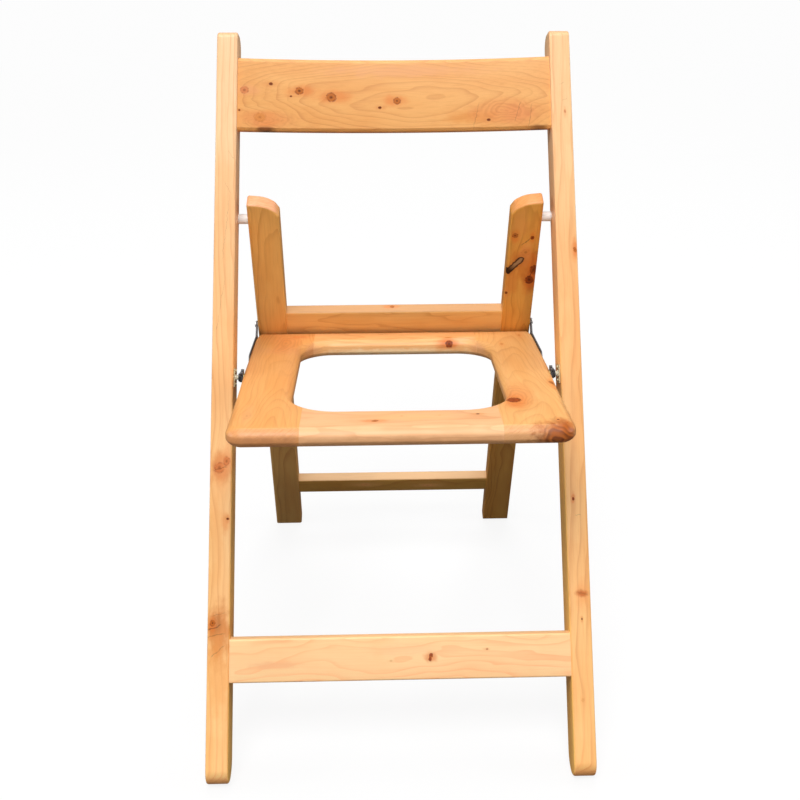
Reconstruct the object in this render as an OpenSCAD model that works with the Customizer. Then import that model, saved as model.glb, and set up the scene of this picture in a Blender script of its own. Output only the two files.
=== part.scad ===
// Folding wooden toilet chair: two long leaning posts, a hinged rear leg frame,
// and a tilting seat with a large opening. Millimetres, +Z up, front faces -Y,
// left is -X. Origin: centre of the footprint box on the floor.

/* [Overall] */
// overall width over the posts
overall_w = 430; // [400:1:460]
// lean of the long posts from vertical, degrees
post_lean = 23.9; // [20:0.1:28]
// lean of the rear legs from vertical, degrees
leg_lean = 22.6; // [18:0.1:28]
// downward slope of the seat towards the rear, degrees
seat_slope = 7.8; // [3:0.1:9]

/* [Posts] */
// post width across the chair
post_w = 25; // [22:1:30]
// post depth front to back
post_d = 40; // [38:1:46]
// post length from the foot circle to the top end
post_len = 832; // [780:0.5:880]
// radius of the top front corner
top_front_r = 8; // [3:1:12]
// radius of the top back corner
top_back_r = 20; // [8:1:20]
// depth of the flat worn on the round foot
foot_flat = 1.5; // [0.5:0.1:3]

/* [Backrest] */
// slat height
slat_h = 90; // [70:0.5:100]
// slat thickness
slat_t = 16; // [12:1:20]
// slat lower edge, distance up the post
slat_up = 710.5; // [690:0.5:730]
// backward bow of the slat at its middle
slat_bow = 16; // [8:1:24]

/* [Front stretcher] */
// stretcher height
stretcher_h = 46; // [36:1:60]
// stretcher thickness
stretcher_t = 14; // [14:1:20]
// stretcher lower edge, distance up the post
stretcher_up = 88; // [60:1:140]

/* [Rear frame] */
// outer width of the rear frame
rear_w = 356; // [340:1:358]
// rear leg width across the chair
leg_w = 38; // [30:1:44]
// rear leg thickness
leg_t = 20; // [18:1:22]
// rise of the rear leg above its pivot
leg_rise = 30.5; // [20:0.5:40]
// rail thickness
rail_t = 15; // [12:1:18]
// upper rail height
up_rail_h = 48; // [30:1:60]
// upper rail top edge, measured up the leg from the foot circle
up_rail_top = 449; // [430:1:470]
// lower rail height
low_rail_h = 28; // [20:1:40]
// lower rail top edge, measured up the leg from the foot circle
low_rail_top = 95; // [80:1:120]

/* [Seat] */
// seat width
seat_w = 358; // [340:1:360]
// seat thickness
seat_t = 20; // [18:1:22]
// seat length in front of its pivot
seat_front = 182; // [170:1:190]
// seat length behind its pivot
seat_rear = 160; // [156:1:161]
// height of the seat pivot above the middle of the seat thickness
seat_rise = 4; // [0:0.5:5]
// width of the front and rear boards between the side boards
mid_board_w = 207; // [180:1:230]
// half width of the opening
hole_half_w = 118; // [100:1:120]
// opening end behind the pivot
hole_rear = 118.5; // [100:0.5:122]
// opening end in front of the pivot
hole_front = 125; // [110:0.5:130]
// opening corner radius, rear
hole_rear_r = 40; // [25:1:60]
// opening corner radius, front
hole_front_r = 52; // [25:1:60]

/* [Pivots] */
// top pivot, distance up the post
top_pivot_up = 606; // [590:0.5:612]
// top pivot, distance behind the post centre line
top_pivot_back = 14; // [12:0.5:14]
// seat pivot, distance up the post
seat_pivot_up = 418.9; // [410:0.1:425]
// seat pivot, distance in front of the post centre line
seat_pivot_fwd = 8; // [7:0.5:9]
// guide pin, distance behind the seat pivot
guide_back = 161; // [158:0.5:165]
// guide pin, distance above the seat pivot
guide_up = 17.5; // [16:0.5:20]
// guide pin radius
guide_r = 2.5; // [2:0.1:3]
// running gap between guide pin and groove wall
guide_gap = 0.4; // [0.2:0.05:0.6]

/* [Hidden] */
$fn = 48;
gap = 0.05; // fitting clearance of bores and boards
post_r = post_d / 2;
leg_r = leg_t / 2;
seat_r = seat_t / 2;

// side faces, distance from the centre plane
outer_x = overall_w / 2;
post_x = outer_x - post_w; // inner face of the post
leg_x = rear_w / 2; // outer face of the rear leg
rail_x = leg_x - leg_w; // inner face of the rear leg
seat_x = seat_w / 2;

// foot circle heights
post_foot_z = post_r - foot_flat;
leg_foot_z = leg_r - foot_flat / 2;

// pivots in the side plane, y measured from the front foot circle
seat_pivot_y = seat_pivot_up * sin(post_lean) - seat_pivot_fwd * cos(post_lean);
seat_pivot_z = post_foot_z + seat_pivot_up * cos(post_lean) + seat_pivot_fwd * sin(post_lean);
top_pivot_y = top_pivot_up * sin(post_lean) + top_pivot_back * cos(post_lean);
top_pivot_z = post_foot_z + top_pivot_up * cos(post_lean) - top_pivot_back * sin(post_lean);
leg_len = (top_pivot_z - leg_foot_z) / cos(leg_lean); // foot circle to pivot

// footprint ends, then the shift that centres the footprint
front_y = seat_pivot_y - (seat_front - seat_r) * cos(seat_slope)
    - seat_rise * sin(seat_slope) - seat_r;
rear_y = top_pivot_y + leg_len * sin(leg_lean) + leg_r;
foot_y = -(front_y + rear_y) / 2;

// slat: front face at its ends, radius of the bowed front face
slat_end_y = -15;
slat_r = (post_x * post_x + slat_bow * slat_bow) / (2 * slat_bow);

// tenons, each [y, thickness, z, height] in the frame of its member
tenon_len = 12;
tenon_root = 3; // overlap into its own rail
tenon_gap = 0.1;
slat_tenon = [-12, 10, slat_up + 8, slat_h - 16];
stretcher_tenon = [-16, 7, stretcher_up + 8, stretcher_h - 16];
function rail_tenon(top, height, shoulder) =
    [-4.5, 9, -leg_len + top - height + shoulder, height - 2 * shoulder];
up_tenon = rail_tenon(up_rail_top, up_rail_h, 8);
low_tenon = rail_tenon(low_rail_top, low_rail_h, 5);

// seat details
seat_front_corner_r = 18;
seat_rear_corner_r = 4;
seat_rear_edge_r = 8;
dowel_r = 4;
dowel_reach = 18; // into each board
dowel_y = [148, 131, -140, -165];

// top pivot hardware
bolt_r = 4;
bolt_reach = 21; // into the rear leg
bolt_head_r = 5.5;
leg_bush_r = 6;
leg_bush_len = 24;

// seat pivot hardware
seat_pin_r = 2.5;
seat_pin_reach = 15; // into the post and into the seat
seat_bush_r = 4;
seat_bush_len = 20;
plate_t = 1.2;
plate_screw_r = 1.25;
washer_t = 1.2;

// side bracket hardware
bracket_t = 1.6;
bracket_front = 72; // front end of the bar, behind the seat pivot
bracket_bottom = -5;
bracket_h = 14;
bracket_mid = bracket_bottom + bracket_h / 2;
bracket_screw_y = [80, 112, 144];
bracket_screw_r = 1.5;
guide_shank_r = 1.75;

// rear leg top: [distance in from the outer face, drop below the top]
leg_top = [
    [0, 2.5], [0.8, 0.8], [2.5, 0], [14, 1.2], [21, 3], [27, 6],
    [32, 10.2], [35.6, 14.6], [leg_w - 0.6, 18.4], [leg_w, 22]
];

// colours
post_colour = [0.86, 0.66, 0.42];
slat_colour = [0.85, 0.62, 0.38];
stretcher_colour = [0.82, 0.58, 0.35];
leg_colour = [0.78, 0.55, 0.33];
rail_colour = [0.72, 0.48, 0.27];
side_board_colour = [0.87, 0.62, 0.36];
mid_board_colour = [0.88, 0.65, 0.40];
dowel_colour = [0.80, 0.62, 0.42];
bolt_colour = [0.45, 0.45, 0.46];
spacer_colour = [0.95, 0.95, 0.94];
bush_colour = [0.72, 0.6, 0.32];
plate_colour = [0.80, 0.70, 0.42];
seat_pin_colour = [0.93, 0.90, 0.78];
washer_colour = [0.16, 0.16, 0.17];
nut_colour = [0.12, 0.12, 0.13];
bracket_colour = [0.10, 0.10, 0.11];
bracket_screw_colour = [0.90, 0.86, 0.74];
guide_pin_colour = [0.55, 0.55, 0.57];

// Fold motion. The fold angle is the seat's slope relative to the posts;
// the leg angle, between post and rear leg, closes to zero as the seat folds.
fold_open = seat_slope - post_lean;
fold_shut = 90;
fold_range = fold_shut - fold_open;
leg_open = post_lean + leg_lean;
fold_ratio = leg_open / fold_range;
groove_steps = 20;
groove_r = guide_r + guide_gap;
function leg_angle(fold) = leg_open - fold_ratio * (fold - fold_open);
// guide pin centre [y, z] in the leg frame; y and z start in the post frame
function pin_on_leg(fold) =
    let (y = -seat_pivot_fwd - top_pivot_back + guide_back * cos(fold) + guide_up * sin(fold),
        z = seat_pivot_up - top_pivot_up - guide_back * sin(fold) + guide_up * cos(fold),
        angle = leg_angle(fold))
    [y * cos(angle) + z * sin(angle), -y * sin(angle) + z * cos(angle)];
function unit(v) = v / norm(v);
function path_normal(fold) =
    let (along = unit(pin_on_leg(fold + 0.5) - pin_on_leg(fold - 0.5)))
    [-along[1], along[0]];
// wall 1 runs from open to shut, wall -1 runs back
function groove_wall(side) = [
    for (i = [0 : groove_steps])
        let (fold = fold_open + fold_range * (side > 0 ? i : groove_steps - i) / groove_steps)
        pin_on_leg(fold) + side * groove_r * path_normal(fold)
];
function groove_end(fold, side) =
    let (normal = path_normal(fold), start = atan2(normal[1], normal[0]))
    [for (k = [1 : 7])
        pin_on_leg(fold) + side * groove_r * [cos(start - k * 22.5), sin(start - k * 22.5)]];

// Frames: local x across, y backwards, z up along the member.
// The post frame starts at the foot circle, the leg frame at the top pivot,
// the seat frame at the seat pivot, the board frame at mid thickness below it.
module post_frame() {
    translate([0, foot_y, post_foot_z]) rotate([-post_lean, 0, 0]) children();
}
module leg_frame() {
    translate([0, foot_y + top_pivot_y, top_pivot_z]) rotate([leg_lean, 0, 0]) children();
}
module seat_frame() {
    translate([0, foot_y + seat_pivot_y, seat_pivot_z]) rotate([-seat_slope, 0, 0]) children();
}
module board_frame() { seat_frame() translate([0, 0, -seat_rise]) children(); }

// places within the post frame and the board frame
module at_top_pivot() { translate([0, top_pivot_back, top_pivot_up]) children(); }
module at_seat_pivot() { translate([0, -seat_pivot_fwd, seat_pivot_up]) children(); }
module at_plate_screws() {
    at_seat_pivot() for (z = [-7.5, 7.5]) translate([0, 3, z]) children();
}
module at_bracket_screws() {
    for (y = bracket_screw_y) translate([0, y, bracket_mid]) children();
}

// pieces are drawn on the right; side -1 mirrors them to the left
module on_side(side) { if (side > 0) children(); else mirror([1, 0, 0]) children(); }
module each_side() { for (side = [-1, 1]) on_side(side) children(); }

module floor_cut() { translate([-400, -500, -100]) cube([800, 1400, 100]); }
// side-plane outline (y, z) extruded along x
module extrude_x(x, length) {
    translate([x, 0, 0]) rotate([90, 0, 90]) linear_extrude(length) children();
}
module rod(x, length, radius) {
    translate([x, 0, 0]) rotate([0, 90, 0]) cylinder(h = length, r = radius);
}
// blind bore going inwards from an outer face
module blind_bore(face_x, depth, radius) {
    rod(face_x - depth - 0.1, depth + 2, radius + gap);
}
// blind bore going outwards from the inner face of the post
module post_bore(depth, radius) { rod(post_x - 1, depth + 1.1, radius + gap); }

module tenons(face_x, tenon) {
    each_side() translate([face_x - tenon_root, tenon[0], tenon[2]])
        cube([tenon_root + tenon_len, tenon[1], tenon[3]]);
}
module mortise(face_x, tenon) {
    translate([face_x - 1, tenon[0] - tenon_gap, tenon[2] - tenon_gap])
        cube([tenon_len + 1 + 2 * tenon_gap, tenon[1] + 2 * tenon_gap, tenon[3] + 2 * tenon_gap]);
}

module post_outline() {
    circle(r = post_r);
    translate([-post_r, 0]) square([post_d, post_len - top_back_r]);
    translate([-post_r, 0]) square([post_d - top_back_r, post_len - top_front_r]);
    translate([-post_r + top_front_r, 0]) square([post_d - top_front_r - top_back_r, post_len]);
    translate([-post_r + top_front_r, post_len - top_front_r]) circle(r = top_front_r);
    translate([post_r - top_back_r, post_len - top_back_r]) circle(r = top_back_r);
}
module post(side) {
    color(post_colour) on_side(side) difference() {
        post_frame() difference() {
            extrude_x(post_x, post_w) post_outline();
            mortise(post_x, slat_tenon);
            mortise(post_x, stretcher_tenon);
            // top pivot bore with a sunk seat for the bolt head
            at_top_pivot() {
                rod(post_x - 1, post_w + 2, bolt_r + gap);
                rod(outer_x - 4.2, 6, bolt_head_r + 0.1);
            }
            at_seat_pivot() post_bore(seat_pin_reach, seat_pin_r);
            at_plate_screws() post_bore(10, plate_screw_r);
        }
        floor_cut();
    }
}
module left_post() { post(-1); }
module right_post() { post(1); }

module backrest_slat() {
    color(slat_colour) post_frame() {
        translate([0, 0, slat_up]) linear_extrude(slat_h) intersection() {
            translate([0, slat_bow + slat_end_y - slat_r]) difference() {
                circle(r = slat_r + slat_t, $fn = 240);
                circle(r = slat_r, $fn = 240);
            }
            translate([-post_x, -40]) square([2 * post_x, 80]);
        }
        tenons(post_x, slat_tenon);
    }
}

module front_stretcher() {
    color(stretcher_colour) post_frame() {
        translate([-post_x, -post_r + 0.5, stretcher_up])
            cube([2 * post_x, stretcher_t, stretcher_h]);
        tenons(post_x, stretcher_tenon);
    }
}

// path of the guide pin across the leg as the chair folds
module groove() {
    polygon(concat(groove_wall(1), groove_end(fold_shut, 1),
        groove_wall(-1), groove_end(fold_open, -1)));
}
// front view: the top falls from the outer corner and rounds over at the inner edge
module leg_face() {
    bottom = -leg_len - 20;
    polygon(concat([[rail_x, bottom], [leg_x, bottom]],
        [for (point = leg_top) [leg_x - point[0], leg_rise - point[1]]]));
}
module rear_leg(side) {
    color(leg_colour) on_side(side) difference() {
        leg_frame() difference() {
            intersection() {
                translate([0, leg_r, 0]) rotate([90, 0, 0]) linear_extrude(leg_t) intersection() {
                    leg_face();
                    // keeps the top curve inside a narrow leg
                    translate([rail_x, -leg_len - 20]) square([leg_w, leg_len + 60]);
                }
                extrude_x(rail_x - 1, leg_w + 2) {
                    translate([0, -leg_len]) circle(r = leg_r);
                    translate([-leg_r, -leg_len]) square([leg_t, leg_len + 60]);
                }
            }
            // guide groove in the outer side face
            extrude_x(leg_x - 8.5, 10) groove();
            blind_bore(leg_x, leg_bush_len, leg_bush_r);
            mortise(rail_x, up_tenon);
            mortise(rail_x, low_tenon);
        }
        floor_cut();
    }
}
module left_rear_leg() { rear_leg(-1); }
module right_rear_leg() { rear_leg(1); }

module rail(top, height, tenon) {
    color(rail_colour) leg_frame() {
        translate([-rail_x, -rail_t / 2, -leg_len + top - height])
            cube([2 * rail_x, rail_t, height]);
        tenons(rail_x, tenon);
    }
}
module upper_rear_rail() { rail(up_rail_top, up_rail_h, up_tenon); }
module lower_rear_rail() { rail(low_rail_top, low_rail_h, low_tenon); }

// seat plan: x across, y backwards from the pivot
module seat_plan() {
    front_r = seat_front_corner_r;
    rear_r = seat_rear_corner_r;
    length = seat_front + seat_rear;
    translate([-seat_x, -seat_front + front_r]) square([seat_w, length - front_r - rear_r]);
    translate([-seat_x + front_r, -seat_front]) square([seat_w - 2 * front_r, length]);
    for (side = [-1, 1]) {
        translate([side * (seat_x - front_r), -seat_front + front_r]) circle(r = front_r);
        translate([side * (seat_x - rear_r), seat_rear - rear_r]) circle(r = rear_r);
    }
    translate([-seat_x + rear_r, 0]) square([seat_w - 2 * rear_r, seat_rear]);
}
// side section: half-round front edge, rounded rear edges
module seat_section() {
    edge_r = seat_rear_edge_r;
    translate([-seat_front + seat_r, 0]) circle(r = seat_r);
    translate([-seat_front + seat_r, -seat_r])
        square([seat_front + seat_rear - seat_r - edge_r, seat_t]);
    translate([0, -seat_r + edge_r]) square([seat_rear, seat_t - 2 * edge_r]);
    for (side = [-1, 1])
        translate([seat_rear - edge_r, side * (seat_r - edge_r)]) circle(r = edge_r);
}
module opening() {
    translate([-hole_half_w, -hole_front + hole_front_r])
        square([2 * hole_half_w, hole_front + hole_rear - hole_front_r - hole_rear_r]);
    translate([-hole_half_w + hole_front_r, -hole_front])
        square([2 * (hole_half_w - hole_front_r), hole_front]);
    translate([-hole_half_w + hole_rear_r, 0])
        square([2 * (hole_half_w - hole_rear_r), hole_rear]);
    for (side = [-1, 1]) {
        translate([side * (hole_half_w - hole_front_r), -hole_front + hole_front_r])
            circle(r = hole_front_r);
        translate([side * (hole_half_w - hole_rear_r), hole_rear - hole_rear_r])
            circle(r = hole_rear_r);
    }
}
module seat_blank() {
    intersection() {
        translate([0, 0, -seat_r]) linear_extrude(seat_t) difference() {
            seat_plan();
            opening();
        }
        extrude_x(-seat_x - 1, seat_w + 2) seat_section();
    }
}
// x_offset is measured from the joint between side and middle boards
module dowel_set(x_offset, length, radius) {
    for (y = dowel_y) translate([0, y, 0]) rod(mid_board_w / 2 + x_offset, length, radius);
}
module side_board(side) {
    color(side_board_colour) on_side(side) board_frame() difference() {
        intersection() {
            seat_blank();
            translate([mid_board_w / 2, -300, -50]) cube([200, 600, 100]);
        }
        dowel_set(-1, dowel_reach + 1.2, dowel_r + gap);
        translate([0, 0, seat_rise]) blind_bore(seat_x, seat_bush_len, seat_bush_r);
        at_bracket_screws() blind_bore(seat_x, 14, bracket_screw_r);
    }
}
module left_seat_board() { side_board(-1); }
module right_seat_board() { side_board(1); }
module mid_board(y) {
    color(mid_board_colour) board_frame() difference() {
        intersection() {
            seat_blank();
            translate([-mid_board_w / 2 + gap, y, -50]) cube([mid_board_w - 2 * gap, 300, 100]);
        }
        each_side() dowel_set(-dowel_reach - 0.2, dowel_reach + 2, dowel_r + gap);
    }
}
module front_seat_board() { mid_board(-300); }
module rear_seat_board() { mid_board(1); }
module seat_dowels() {
    color(dowel_colour) board_frame() each_side()
        dowel_set(-dowel_reach, 2 * dowel_reach, dowel_r);
}

// top pivot: bolt fixed in the post, spacer, bush let into the rear leg
module top_bolt(side) {
    color(bolt_colour) on_side(side) post_frame() at_top_pivot() difference() {
        union() {
            rod(leg_x - bolt_reach, outer_x - 2 - leg_x + bolt_reach, bolt_r);
            rod(outer_x - 4, 3.6, bolt_head_r);
        }
        rod(outer_x - 3, 5, 2.9, $fn = 6); // hexagon socket
    }
}
module left_top_bolt() { top_bolt(-1); }
module right_top_bolt() { top_bolt(1); }
module top_spacer(side) {
    color(spacer_colour) on_side(side) post_frame() at_top_pivot() difference() {
        rod(leg_x + 0.1, post_x - leg_x - 0.1, 6);
        rod(leg_x - 1, post_x - leg_x + 2, bolt_r + gap);
    }
}
module left_top_spacer() { top_spacer(-1); }
module right_top_spacer() { top_spacer(1); }
module leg_bush(side) {
    color(bush_colour) on_side(side) leg_frame() difference() {
        rod(leg_x - leg_bush_len, leg_bush_len, leg_bush_r);
        rod(leg_x - bolt_reach - 0.5, bolt_reach + 3, bolt_r + gap);
    }
}
module left_leg_bush() { leg_bush(-1); }
module right_leg_bush() { leg_bush(1); }

// seat pivot: plate and pin on the post, washer, nut and bush on the seat
module pivot_plate(side) {
    color(plate_colour) on_side(side) post_frame() difference() {
        at_seat_pivot() translate([post_x - plate_t, -5.5, -10.5]) cube([plate_t, 12, 21]);
        at_seat_pivot() rod(post_x - 5, 8, seat_pin_r + gap);
        at_plate_screws() rod(post_x - 5, 8, plate_screw_r + gap);
    }
}
module left_pivot_plate() { pivot_plate(-1); }
module right_pivot_plate() { pivot_plate(1); }
module plate_screws(side) {
    color(plate_colour) on_side(side) post_frame() at_plate_screws() difference() {
        union() {
            rod(post_x - plate_t - 1.2, 1.2, 2.3);
            rod(post_x - 2, 11.9, plate_screw_r);
        }
        rod(post_x - 3.2, 1.5, 0.9, $fn = 4); // square recess
    }
}
module left_plate_screws() { plate_screws(-1); }
module right_plate_screws() { plate_screws(1); }
module seat_pin(side) {
    color(seat_pin_colour) on_side(side) post_frame() at_seat_pivot() {
        rod(seat_x - seat_pin_reach, post_x - seat_x + 2 * seat_pin_reach, seat_pin_r);
        rod(post_x - plate_t - 1.7, 1.7, 3.8); // collar against the plate
    }
}
module left_seat_pin() { seat_pin(-1); }
module right_seat_pin() { seat_pin(1); }
module seat_bush(side) {
    color(bush_colour) on_side(side) seat_frame() difference() {
        rod(seat_x - seat_bush_len, seat_bush_len, seat_bush_r);
        rod(seat_x - seat_pin_reach - 0.5, seat_pin_reach + 3, seat_pin_r + gap);
    }
}
module left_seat_bush() { seat_bush(-1); }
module right_seat_bush() { seat_bush(1); }
module pivot_washer(side) {
    color(washer_colour) on_side(side) seat_frame() difference() {
        union() {
            rod(seat_x, washer_t, 6.4);
            // raised lock tabs
            for (y = [-4.6, 4.2]) translate([0, y, 6.6]) rod(seat_x, 3.4, 1.9);
            translate([seat_x, -6.4, 3]) cube([washer_t, 12.4, 3.6]);
        }
        rod(seat_x - 1, 4, seat_pin_r + gap);
    }
}
module left_pivot_washer() { pivot_washer(-1); }
module right_pivot_washer() { pivot_washer(1); }
module pivot_nut(side) {
    color(nut_colour) on_side(side) seat_frame() difference() {
        union() {
            rod(seat_x + washer_t, 3.6, 5.8, $fn = 6);
            rod(seat_x + washer_t, 4.8, 4.6);
        }
        rod(seat_x - 1, 10, seat_pin_r + gap);
    }
}
module left_pivot_nut() { pivot_nut(-1); }
module right_pivot_nut() { pivot_nut(1); }

// side bracket: flat steel bar on the seat edge, its rear end rising to the guide pin
module bracket_outline() {
    pin_z = guide_up + seat_rise;
    bar_rear = guide_back - 5;
    bar_top = bracket_bottom + bracket_h;
    translate([bracket_front, bracket_bottom]) square([bar_rear - bracket_front, bracket_h]);
    translate([bracket_front, bracket_mid]) circle(r = bracket_h / 2);
    polygon([[guide_back - 13, bar_top], [bar_rear, bracket_bottom],
        [guide_back + 4.5, pin_z - 1], [guide_back - 4.5, pin_z + 1]]);
    translate([guide_back, pin_z]) circle(r = 4.6);
    translate([bar_rear, bracket_mid]) circle(r = bracket_h / 2);
}
module side_bracket(side) {
    color(bracket_colour) on_side(side) board_frame() difference() {
        extrude_x(seat_x, bracket_t) bracket_outline();
        translate([0, guide_back, guide_up + seat_rise]) rod(seat_x - 1, 5, guide_shank_r + gap);
        at_bracket_screws() rod(seat_x - 1, 5, bracket_screw_r + gap);
    }
}
module left_side_bracket() { side_bracket(-1); }
module right_side_bracket() { side_bracket(1); }
module bracket_screws(side) {
    color(bracket_screw_colour) on_side(side) board_frame() at_bracket_screws() difference() {
        union() {
            rod(seat_x + bracket_t, 1.3, 3);
            rod(seat_x - 13, 16, bracket_screw_r);
        }
        rod(seat_x + 2.2, 2, 1.1, $fn = 4); // square recess
    }
}
module left_bracket_screws() { bracket_screws(-1); }
module right_bracket_screws() { bracket_screws(1); }
module guide_pin(side) {
    color(guide_pin_colour) on_side(side) seat_frame() translate([0, guide_back, guide_up]) {
        rod(leg_x - 7.5, seat_x - leg_x + 7.5, guide_r);
        rod(leg_x, seat_x - leg_x + 2.9, guide_shank_r);
        rod(seat_x + bracket_t, 1.4, 3.4);
    }
}
module left_guide_pin() { guide_pin(-1); }
module right_guide_pin() { guide_pin(1); }

left_post();
right_post();
backrest_slat();
front_stretcher();
left_rear_leg();
right_rear_leg();
upper_rear_rail();
lower_rear_rail();
left_seat_board();
right_seat_board();
front_seat_board();
rear_seat_board();
seat_dowels();
left_top_bolt();
right_top_bolt();
left_top_spacer();
right_top_spacer();
left_leg_bush();
right_leg_bush();
left_pivot_plate();
right_pivot_plate();
left_plate_screws();
right_plate_screws();
left_seat_pin();
right_seat_pin();
left_seat_bush();
right_seat_bush();
left_pivot_washer();
right_pivot_washer();
left_pivot_nut();
right_pivot_nut();
left_side_bracket();
right_side_bracket();
left_bracket_screws();
right_bracket_screws();
left_guide_pin();
right_guide_pin();
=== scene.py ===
import math

import bmesh
import bpy
import numpy as np
from mathutils import Euler, Matrix, Vector


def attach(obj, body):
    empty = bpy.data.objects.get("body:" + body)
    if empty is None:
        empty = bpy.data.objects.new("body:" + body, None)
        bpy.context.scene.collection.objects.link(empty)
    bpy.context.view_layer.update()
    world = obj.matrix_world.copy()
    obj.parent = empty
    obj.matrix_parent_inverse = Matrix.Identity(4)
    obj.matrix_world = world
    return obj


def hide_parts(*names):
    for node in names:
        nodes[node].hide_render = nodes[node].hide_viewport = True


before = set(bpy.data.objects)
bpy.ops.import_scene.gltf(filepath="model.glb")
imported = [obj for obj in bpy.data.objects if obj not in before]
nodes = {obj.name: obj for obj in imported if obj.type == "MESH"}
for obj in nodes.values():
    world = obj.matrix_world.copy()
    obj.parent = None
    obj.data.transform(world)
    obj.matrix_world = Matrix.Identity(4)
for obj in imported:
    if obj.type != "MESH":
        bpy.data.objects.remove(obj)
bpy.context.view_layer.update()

# ---------------------------------------------------------------- geometry of the chair, millimetres
AL, PH, TA = math.radians(23.9), math.radians(22.6), math.radians(7.8)
PD, LT, ST = 20.0, 10.0, 10.0
XIN, XLEG, XSEAT = 190.0, 178.0, 179.0
POST_LEN = 832.0
Q_TOP, P_TOP, Q_SEAT, P_SEAT = 606.0, 14.0, 418.9, 8.0
SEAT_RISE, SEAT_F, SEAT_R = 4.0, 182.0, 160.0
ZF, ZR = 18.5, 9.25
py = Q_SEAT * math.sin(AL) - P_SEAT * math.cos(AL)
pz = ZF + Q_SEAT * math.cos(AL) + P_SEAT * math.sin(AL)
qy = Q_TOP * math.sin(AL) + P_TOP * math.cos(AL)
qz = ZF + Q_TOP * math.cos(AL) - P_TOP * math.sin(AL)
LEG_LEN = (qz - ZR) / math.cos(PH)
ry = qy + LEG_LEN * math.sin(PH)
Y0 = -((py - (SEAT_F - ST) * math.cos(TA) - SEAT_RISE * math.sin(TA) - ST) + (ry + LT)) / 2


def rot_x(a):
    return np.array([[1, 0, 0], [0, math.cos(a), -math.sin(a)], [0, math.sin(a), math.cos(a)]])


class Frame:
    """A board's own axes: x across the chair, y backwards, z up along the member, in millimetres."""

    def __init__(self, origin, angle):
        self.o, self.r, self.angle = np.array(origin, float), rot_x(angle), angle

    def world(self, pts):
        return (np.asarray(pts, float) @ self.r.T + self.o) * 0.001


POST = Frame((0, Y0, ZF), -AL)
LEG = Frame((0, Y0 + qy, qz), PH)
SEATP = Frame((0, Y0 + py, pz), -TA)
BOARD = Frame(SEATP.o + SEATP.r @ np.array([0, 0, -SEAT_RISE]), -TA)


# ---------------------------------------------------------------- mesh tools
def make_object(name, verts, faces, smooth_angle=None):
    me = bpy.data.meshes.new(name)
    me.from_pydata([tuple(v) for v in verts], [], [tuple(f) for f in faces])
    me.validate()
    ob = bpy.data.objects.new(name, me)
    bpy.context.scene.collection.objects.link(ob)
    bm = bmesh.new()
    bm.from_mesh(me)
    bmesh.ops.remove_doubles(bm, verts=bm.verts, dist=1e-7)
    bmesh.ops.recalc_face_normals(bm, faces=bm.faces)
    bm.to_mesh(me)
    bm.free()
    return ob


def shade(ob, angle=38):
    """Smooth where faces meet gently, sharp elsewhere."""
    me = ob.data
    for p in me.polygons:
        p.use_smooth = True
    bm = bmesh.new()
    bm.from_mesh(me)
    lim = math.radians(angle)
    for e in bm.edges:
        e.smooth = not (len(e.link_faces) != 2 or e.calc_face_angle(0) > lim)
    bm.to_mesh(me)
    bm.free()


def arc_outline(corners, seg=10):
    """Counter-clockwise outline from (x, y, radius) corners, with unit outward normals."""
    n = len(corners)
    pts, nrm = [], []
    for i in range(n):
        p0, p1, p2 = (np.array(corners[(i + k) % n][:2], float) for k in (-1, 0, 1))
        r = corners[i][2]
        d0, d1 = (p1 - p0) / np.linalg.norm(p1 - p0), (p2 - p1) / np.linalg.norm(p2 - p1)
        n0, n1 = np.array([d0[1], -d0[0]]), np.array([d1[1], -d1[0]])
        turn = math.atan2(d0[0] * d1[1] - d0[1] * d1[0], d0 @ d1)
        t = r * math.tan(abs(turn) / 2)
        a0 = math.atan2(n0[1], n0[0])
        c = p1 - d0 * t - n0 * r
        k = max(2, int(round(seg * abs(turn) / (math.pi / 2))))
        for j in range(k + 1):
            a = a0 + turn * j / k
            v = np.array([math.cos(a), math.sin(a)])
            pts.append(c + r * v)
            nrm.append(v)
    return np.array(pts), np.array(nrm)


def densify(pts, nrm, step):
    """Adds points on the long straight runs of an outline."""
    out, on = [], []
    for i in range(len(pts)):
        j = (i + 1) % len(pts)
        out.append(pts[i])
        on.append(nrm[i])
        d = np.linalg.norm(pts[j] - pts[i])
        if d > 1.8 * step and nrm[i] @ nrm[j] > 0.9999:
            k = int(d // step)
            for m in range(1, k):
                out.append(pts[i] + (pts[j] - pts[i]) * m / k)
                on.append(nrm[i])
    return np.array(out), np.array(on)


def plank(name, outline, half, r, place, seg=5):
    """A board: outline pushed to +-half, all rims rounded by r. place maps (a, b, t) rows to local rows."""
    pts, nrm = outline
    r = np.full(len(pts), float(r)) if np.isscalar(r) else np.asarray(r, float)
    loops = []
    for sgn in (1, -1):
        angs = [math.pi / 2 * k / seg for k in range(seg + 1)]
        if sgn > 0:
            angs = angs[::-1]
        for a in angs:
            off = r * (1 - math.cos(a))
            t = sgn * (half - r * (1 - math.sin(a)))
            loops.append(np.column_stack([pts - nrm * off[:, None], t]))
    n = len(pts)
    verts = np.vstack(loops)
    faces = []
    for k in range(len(loops) - 1):
        for i in range(n):
            j = (i + 1) % n
            faces.append((k * n + i, (k + 1) * n + i, (k + 1) * n + j, k * n + j))
    faces.append(tuple(range(n)))
    faces.append(tuple(range((len(loops) - 1) * n, len(loops) * n))[::-1])
    return make_object(name, place(verts), faces)


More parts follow.
